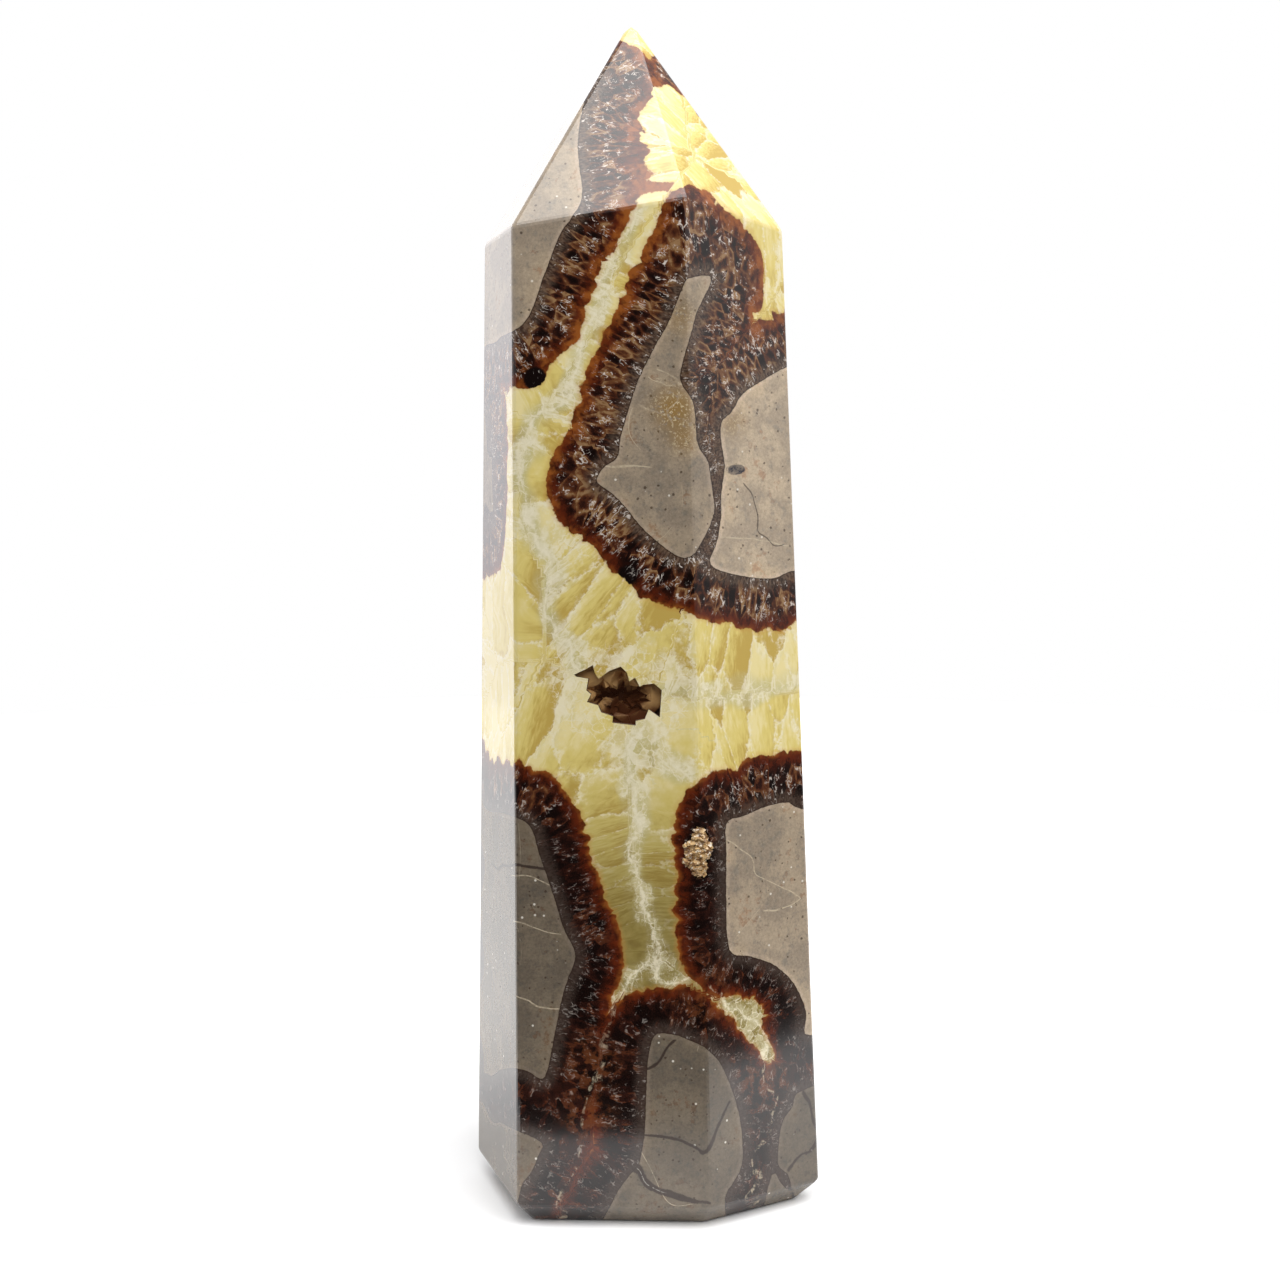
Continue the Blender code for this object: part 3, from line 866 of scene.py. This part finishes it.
# %% Yellow calcite
CRYSTAL_WIDTH = 2.9
CRYSTAL_SQUEEZE = 0.23
CRYSTAL_SWAY = 0.7
FLAKE_WIDTH = 1.5
FLAKE_SWAY = 0.9
CRYSTAL_LIGHT = (-0.7, -0.3, 0.65)
FIBRE_SIZE = 0.32
FIBRE_SQUEEZE = 0.12
HAZE_SIZE = 4.5
CHIP_SIZE = 0.75
OLIVE_SHADE_FROM_TO = (75.0, 42.0)
BRIGHT_FROM_TO = (-11.0, -22.0)
HONEY = paint(194, 165, 85)
LEMON = paint(223, 203, 121)
PALE_LEMON = paint(234, 218, 158)
SHADED_OLIVE = paint(106, 91, 48)
FROST = paint(222, 209, 158)
FROST_WHITE = paint(240, 231, 204)
HALO = paint(192, 136, 66)
GLASS = paint(188, 182, 140)


def yellow_calcite(recipe, foot, tip, sway, seam, fine_cracks):
    root = recipe.standing(foot, CRYSTAL_SQUEEZE).moved(sway.scaled(CRYSTAL_SWAY))
    crystals = recipe.cells(CRYSTAL_WIDTH, root)
    border = recipe.edges(CRYSTAL_WIDTH, root) * CRYSTAL_WIDTH
    long_fibres = recipe.standing(foot, FIBRE_SQUEEZE)
    fibres = recipe.noise(FIBRE_SIZE, detail=3.0, roughness=0.6, vector=long_fibres)
    clouds = recipe.noise(HAZE_SIZE, detail=3.0)
    chips = recipe.noise(CHIP_SIZE, detail=5.0, roughness=0.72)
    # darker and olive low on the stone: partly the clear calcite's own olive, partly painted shade
    low_shade = recipe.height.rise(*OLIVE_SHADE_FROM_TO)
    # painted light: each crystal is lighter on its upper left side and darker on the other, and its frost is
    # heavier on the lit side
    painted_lit_side = root.minus(crystals.output("Position")).along(CRYSTAL_LIGHT) * (0.15 - 0.14 * low_shade)
    mood = recipe.chance(crystals) * (0.34 - 0.16 * low_shade) + painted_lit_side + fibres * 0.7 + clouds * 0.4 - 0.16
    mood = mood + recipe.across.rise(*BRIGHT_FROM_TO) * 0.2
    near_seam = seam.rise(2.6, 0.2)
    broken = (near_seam * 0.6 + recipe.stored("sugar")).least(1.0)
    splintered = recipe.place.moved(sway.scaled(FLAKE_SWAY))
    flakes = recipe.chance(recipe.cells(FLAKE_WIDTH, splintered))
    frost = broken * (0.1 + flakes) + border.rise(0.8, 0.0) * (0.5 - 0.35 * low_shade) + painted_lit_side * 0.6
    frost = (frost + clouds.rise(0.45, 0.75) * 0.25 + (chips - 0.5) * 1.1).rise(0.35, 0.85)
    white = recipe.mix(fibres.rise(0.42, 0.58), FROST, FROST_WHITE)
    lines = border.rise(0.14, 0.0) * chips.rise(0.42, 0.56) * (0.6 - 0.5 * low_shade)
    shatter = recipe.edges(FLAKE_WIDTH, splintered).rise(0.07, 0.0).most(fine_cracks * 0.4)
    lines = lines.most(shatter * broken.rise(0.15, 0.6) * chips.rise(0.38, 0.56) * 0.75)
    core = (seam + (chips - 0.5) * 2.6).rise(0.45, -0.1) * 0.75
    return recipe.layers(HONEY, [
        (mood.rise(0.28, 0.6), LEMON),
        (mood.rise(0.56, 0.86), PALE_LEMON),
        (low_shade * (0.98 - 0.35 * fibres), SHADED_OLIVE),
        (near_seam * (0.66 - 0.5 * low_shade), GLASS),
        (frost * (0.7 - 0.35 * low_shade), white),
        (lines.most(core), FROST_WHITE),
        (tip.rise(-0.8, 0.1) * 0.35, HALO)])


print("yellow crystals are about", CRYSTAL_WIDTH, "mm wide, and flakes", FLAKE_WIDTH, "mm")

# %% [markdown]
# The three minerals are laid over each other with the stored distance as the mask. Round lobes on the
# rind's tips come from the same foot, with cells as wide as a few columns. The whole is polished, the
# calcite a little brighter than the limestone, whose pores scatter the light. Only the walls of the hollow
# and the pit are rough, brown and dull.

# %% Polished septarian
RIND_THICKNESS = 7.4
LOBE_WIDTH = 2.0
LOBE_REACH = 1.7
SWAY_SIZE = 1.4
CRACKS = dict(size=0.62, width=0.036)
FINE_CRACKS = dict(size=0.5, width=0.045)
RAGGED_SIZE = 0.8
RAGGED_REACH = 0.25
TIP_SIZE = 1.1
TIP_REACH = 1.3
HOLLOW_BROWN = paint(74, 46, 27)
HOLLOW_FROM_TO = (0.08, 0.16)
POLISH_GRAIN = 0.5
POLISH_RELIEF = 0.05 * MM
CALCITE_IOR = 1.6


def finish_stone(material):
    recipe = Recipe(material)
    wall = recipe.stored("wall")
    foot = recipe.stored("foot", "Vector")
    sway = recipe.noise(SWAY_SIZE, detail=4.0, roughness=0.6).output("Color").minus((0.5, 0.5, 0.5))
    seam = recipe.to_line("seam")
    cracks = recipe.threads(**CRACKS, vector=recipe.standing(foot, COLUMN_SQUEEZE))
    fine_cracks = recipe.threads(**FINE_CRACKS)
    ragged = wall + (recipe.noise(RAGGED_SIZE, detail=3.0) - 0.5) * RAGGED_REACH
    lobes = recipe.cells(LOBE_WIDTH, foot)
    reach = RIND_THICKNESS + recipe.stored("swell") + (0.55 - lobes) * LOBE_REACH
    tip = reach - wall + (recipe.noise(TIP_SIZE, detail=3.0) - 0.5) * TIP_REACH
    hollow = recipe.stored("hollow").rise(*HOLLOW_FROM_TO)
    colour = recipe.layers(limestone(recipe, wall), [
        (ragged.rise(-0.05, 0.05), rind(recipe, ragged, tip, foot, seam, cracks, fine_cracks)),
        (tip.rise(0.12, -0.12), yellow_calcite(recipe, foot, tip, sway, seam, fine_cracks)),
        (hollow, HOLLOW_BROWN)])
    gloss = 0.24 - 0.11 * wall.rise(-0.1, 0.1) + 0.5 * hollow
    grain = recipe.noise(POLISH_GRAIN, detail=3.0)
    bump = recipe.node("Bump", {}, {"Height": grain, "Strength": 0.02, "Distance": POLISH_RELIEF})
    recipe.surface({"Base Color": colour, "Roughness": gloss, "Normal": bump, "IOR": CALCITE_IOR})
    print("the stone's material has", len(recipe.tree.nodes), "nodes")


finish_stone(stone_material)

# %% [markdown]
# The hollow and the pit are lined with crystals. The packed model has the larger ones, so its crust is
# copied, and finer crystals of the same form are grown on it: a cube pulled along one corner, which is
# calcite's own rhombohedron. They point roughly at one place in front of the opening.

# %% Growing crystals
CRYSTAL_STRETCH = 1.35
CRYSTAL_SCATTER = 0.35
CRUST_GAP = 0.34 * MM
CRUST_BACK = 0.2
CORNER_UP = Vector((1, 1, 1)).rotation_difference(Vector((0, 0, 1))).to_matrix().to_4x4()
STRETCH_UP = Matrix.Diagonal((1, 1, CRYSTAL_STRETCH, 1))


def grow_crystals(mesh, count, sizes, seed, towards, accept):
    """Plants small rhombohedra on the crust's own faces, pointing roughly at one place."""
    picker = random.Random(seed)
    grounds = [face for face in mesh.faces if accept(face)]
    areas = [face.calc_area() for face in grounds]
    for face in picker.choices(grounds, areas, k=count):
        corners = [vert.co for vert in face.verts]
        shares = [picker.random() for _ in corners]
        root = sum((corner * share for corner, share in zip(corners, shares)), Vector()) / sum(shares)
        size = picker.uniform(*sizes) * MM
        aim = (towards - root).normalized()
        aim = (aim + Vector([picker.gauss(0, CRYSTAL_SCATTER) for _ in range(3)])).normalized()
        spin = Matrix.Rotation(picker.uniform(0, math.tau), 4, "Z")
        point = Vector((0, 0, 1)).rotation_difference(aim).to_matrix().to_4x4()
        place = Matrix.Translation(root) @ point @ spin @ STRETCH_UP @ CORNER_UP
        bmesh.ops.create_cube(mesh, size=size, matrix=place)


def close_gap(mesh, towards):
    """Pushes the crust's back onto the stone, over the gap that the solids keep between them."""
    moves = [(vert, vert.normal * CRUST_GAP) for vert in mesh.verts
             if vert.normal.dot((towards - vert.co).normalized()) < CRUST_BACK]
    for vert, move in moves:
        vert.co += move


print("a crystal is", CRYSTAL_STRETCH, "times as long as a cube's diagonal")

# %% [markdown]
# In the hollow the fine crystals keep clear of the mouth, whose rim belongs to the larger ones. The pit is
# shallow, so its crumbs cover the whole front of its crust, which is spread a little to fill the pit.

# %% Crystal crusts
VUG_CRYSTALS = dict(count=150, sizes=(0.5, 1.5), seed=3)
VUG_AIM = Vector((0.0, -4.0, 0.0)) * MM
VUG_RIM = 1.2 * MM
PIT_CRYSTALS = dict(count=460, sizes=(0.2, 0.6), seed=8)
PIT_AIM = Vector((4.5, -8.0, 0.0)) * MM
PIT_SPREAD = (1.14, 1.0, 1.06)
PIT_FRONT = -0.2


def crust(node, name, slot, aim, crystals, accept, spread=None):
    """A copy of a packed crust, closed against the stone, with finer crystals where accept allows."""
    low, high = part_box(node)
    middle = (low + high) / 2
    target = middle + aim
    mesh = merged_copy(node)
    close_gap(mesh, target)
    if spread:
        bmesh.ops.scale(mesh, vec=spread, verts=mesh.verts, space=Matrix.Translation(-middle))
    grow_crystals(mesh, **crystals, towards=target, accept=lambda face: (
        face.normal.dot(target - face.calc_center_median()) > 0 and accept(face)))
    return add_piece(name, mesh, bpy.data.materials.new(slot), node)


vug_low, vug_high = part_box("vug_crystals")
vug_centre = (vug_low + vug_high) / 2
vug = crust("vug_crystals", "vug_crystal_crust", "vug_calcite", VUG_AIM, VUG_CRYSTALS,
            lambda face: face.calc_center_median().y > vug_low.y + VUG_RIM)
pit = crust("edge_pit_crystals", "pit_crystal_crust", "pit_calcite", PIT_AIM, PIT_CRYSTALS,
            lambda face: face.normal.y < PIT_FRONT, PIT_SPREAD)

# %% [markdown]
# Calcite in an open hollow is not polished: its natural faces shine one by one. Deep in the hollow the
# crystals are painted dark brown as shade, lighter towards the top as painted light, and near the mouth they
# pale to the cream of the rim around them. A faint glow stands for the light that comes through the stone, so
# that the depth isn't black.

# %% Crystal finishes
DEEP_SHADE_BROWN = paint(38, 17, 7)
HALF_SHADE_BROWN = paint(68, 37, 18)
INNER_GLOW = paint(26, 12, 6)
RIM_BROWN = paint(190, 150, 98)
PIT_TAN = paint(202, 168, 118)
PIT_DARK = paint(122, 82, 44)
PIT_GLITTER = paint(242, 232, 214)
VUG_CLOUD_SIZE = 1.6
CRUMB_SIZE = 0.7
GLITTER_SIZE = 0.5
SHINE_SIZE = 0.4


def finish_vug(material):
    recipe = Recipe(material)
    depth = recipe.place.axis("Y") - vug_low.y / MM
    cloud = recipe.noise(VUG_CLOUD_SIZE, detail=3.0)
    # painted light and shade: upper crystals lighter, lower and deeper ones darker
    lit = (recipe.height - vug_centre.z / MM) * 0.45 - (recipe.across - vug_centre.x / MM) * 0.08
    inside = depth * 0.8 + cloud * 2 - lit
    colour = recipe.layers(RIM_BROWN, [
        (inside.rise(0.8, 2.6), HALF_SHADE_BROWN),
        (inside.rise(2.4, 4.6), DEEP_SHADE_BROWN)])
    recipe.surface({
        "Base Color": colour, "Roughness": 0.35 + 0.2 * recipe.noise(CRUMB_SIZE), "Specular IOR Level": 0.08,
        "Emission Color": INNER_GLOW, "Emission Strength": 1.0})


def finish_pit(material):
    recipe = Recipe(material)
    colour = recipe.layers(PIT_DARK, [
        (recipe.noise(CRUMB_SIZE, detail=3.0).rise(0.35, 0.6), PIT_TAN),
        (recipe.noise(GLITTER_SIZE, detail=2.0).rise(0.58, 0.68), PIT_GLITTER)])
    gloss = 0.25 + 0.2 * recipe.noise(SHINE_SIZE)
    recipe.surface({"Base Color": colour, "Roughness": gloss, "IOR": CALCITE_IOR})


finish_vug(vug.active_material)
finish_pit(pit.active_material)
print("crystal finishes:", vug.active_material.name, "and", pit.active_material.name)

# %% [markdown]
# The stone stands on a white floor. The floor glows a little away from the stone, so that it runs into the
# white background, and only the soft shadow at the foot shows that it is there.

# %% Floor
FLOOR_CENTRE = Vector((0.0, 0.285, 0.0))
FLOOR_RADII = (0.5, 0.35, 1.0)
FLOOR_SEGMENTS = 96
FLOOR_WHITE = (0.96, 0.96, 0.96, 1)
FLOOR_GLOW = 0.5
GLOW_FROM_TO = (30.0, 110.0)
BLACK = (0, 0, 0, 1)
WHITE = (1, 1, 1, 1)

floor_mesh = bmesh.new()
bmesh.ops.create_circle(floor_mesh, cap_ends=True, radius=1.0, segments=FLOOR_SEGMENTS)
bmesh.ops.scale(floor_mesh, vec=FLOOR_RADII, verts=floor_mesh.verts)
bmesh.ops.translate(floor_mesh, vec=FLOOR_CENTRE, verts=floor_mesh.verts)
floor_data = bpy.data.meshes.new("floor")
floor_mesh.to_mesh(floor_data)
floor_mesh.free()
floor = add_object("floor", floor_data)
floor_paint = bpy.data.materials.new("floor_paint")
floor_recipe = Recipe(floor_paint)
glowing = floor_recipe.mix(floor_recipe.place.length().rise(*GLOW_FROM_TO), BLACK, WHITE)
floor_recipe.surface({"Base Color": FLOOR_WHITE, "Roughness": 0.6, "Specular IOR Level": 0.2,
                      "Emission Color": glowing, "Emission Strength": FLOOR_GLOW})
floor_data.materials.append(floor_paint)
print("the floor is", round(2 * FLOOR_RADII[0], 1), "m wide")

# %% [markdown]
# A large softbox above and before the stone lights its front. It mirrors in the facets of the point, which
# look pale for that reason. A white backdrop behind on the left mirrors in the left side in the same way.

# %% Lamps
STONE_MIDDLE = Vector((0.0, 0.0, 0.09))


def softbox(name, azimuth, elevation, distance, width, height, radiance, tint=(1, 1, 1)):
    """A square light that faces the stone. Azimuth 0 is on the right, and 270 is towards the camera."""
    turn, lift = math.radians(azimuth), math.radians(elevation)
    away = Vector((math.cos(turn) * math.cos(lift), math.sin(turn) * math.cos(lift), math.sin(lift)))
    light = bpy.data.lights.new(name, "AREA")
    light.shape = "RECTANGLE"
    light.size = width
    light.size_y = height
    light.energy = radiance * math.pi * width * height
    light.color = tint
    lamp = add_object(name, light)
    lamp.location = STONE_MIDDLE + away * distance
    lamp.rotation_euler = away.to_track_quat("Z", "Y").to_euler()
    lamp.visible_camera = False


softbox("top_softbox", azimuth=300, elevation=60, distance=0.5, width=0.62, height=0.46, radiance=4.0)
softbox("backdrop_left", azimuth=127, elevation=11, distance=1.0, width=1.4, height=0.8, radiance=1.38,
        tint=(0.97, 0.96, 1.0))
print("lights:", [item.name for item in bpy.data.lights])

# %% [markdown]
# The stone stands in a white light tent, open towards the camera and below the table. The front faces the
# dark room in that opening, so its colours stay deep. The camera itself sees plain white behind the stone.

# %% Light tent
TENT_LIGHT = 0.8
DARK_ROOM = 0.03
OPENING_FROM_TO = (-0.95, -0.6)
TABLE_FROM_TO = (-0.15, 0.2)

world = bpy.data.worlds.new("light_tent")
bpy.context.scene.world = world
tent = Recipe(world)
towards = tent.node("TexCoord", {}, {}, "Generated")
forwards = towards.axis("Y")
upwards = towards.axis("Z")
glow = DARK_ROOM + TENT_LIGHT * forwards.rise(*OPENING_FROM_TO) * upwards.rise(*TABLE_FROM_TO)
sky = tent.node("Background", {}, {"Color": WHITE, "Strength": glow})
backdrop = tent.node("Background", {}, {"Color": WHITE, "Strength": 1.0})
seen = tent.node("LightPath", {}, {}, "Is Camera Ray")
choice = tent.node("MixShader", {}, {0: seen, 1: sky, 2: backdrop})
tent.node("OutputWorld", {}, {"Surface": choice})
bpy.context.scene.view_settings.view_transform = "Standard"
bpy.context.scene.view_settings.look = "None"
print("the tent's nodes:", len(tent.tree.nodes))
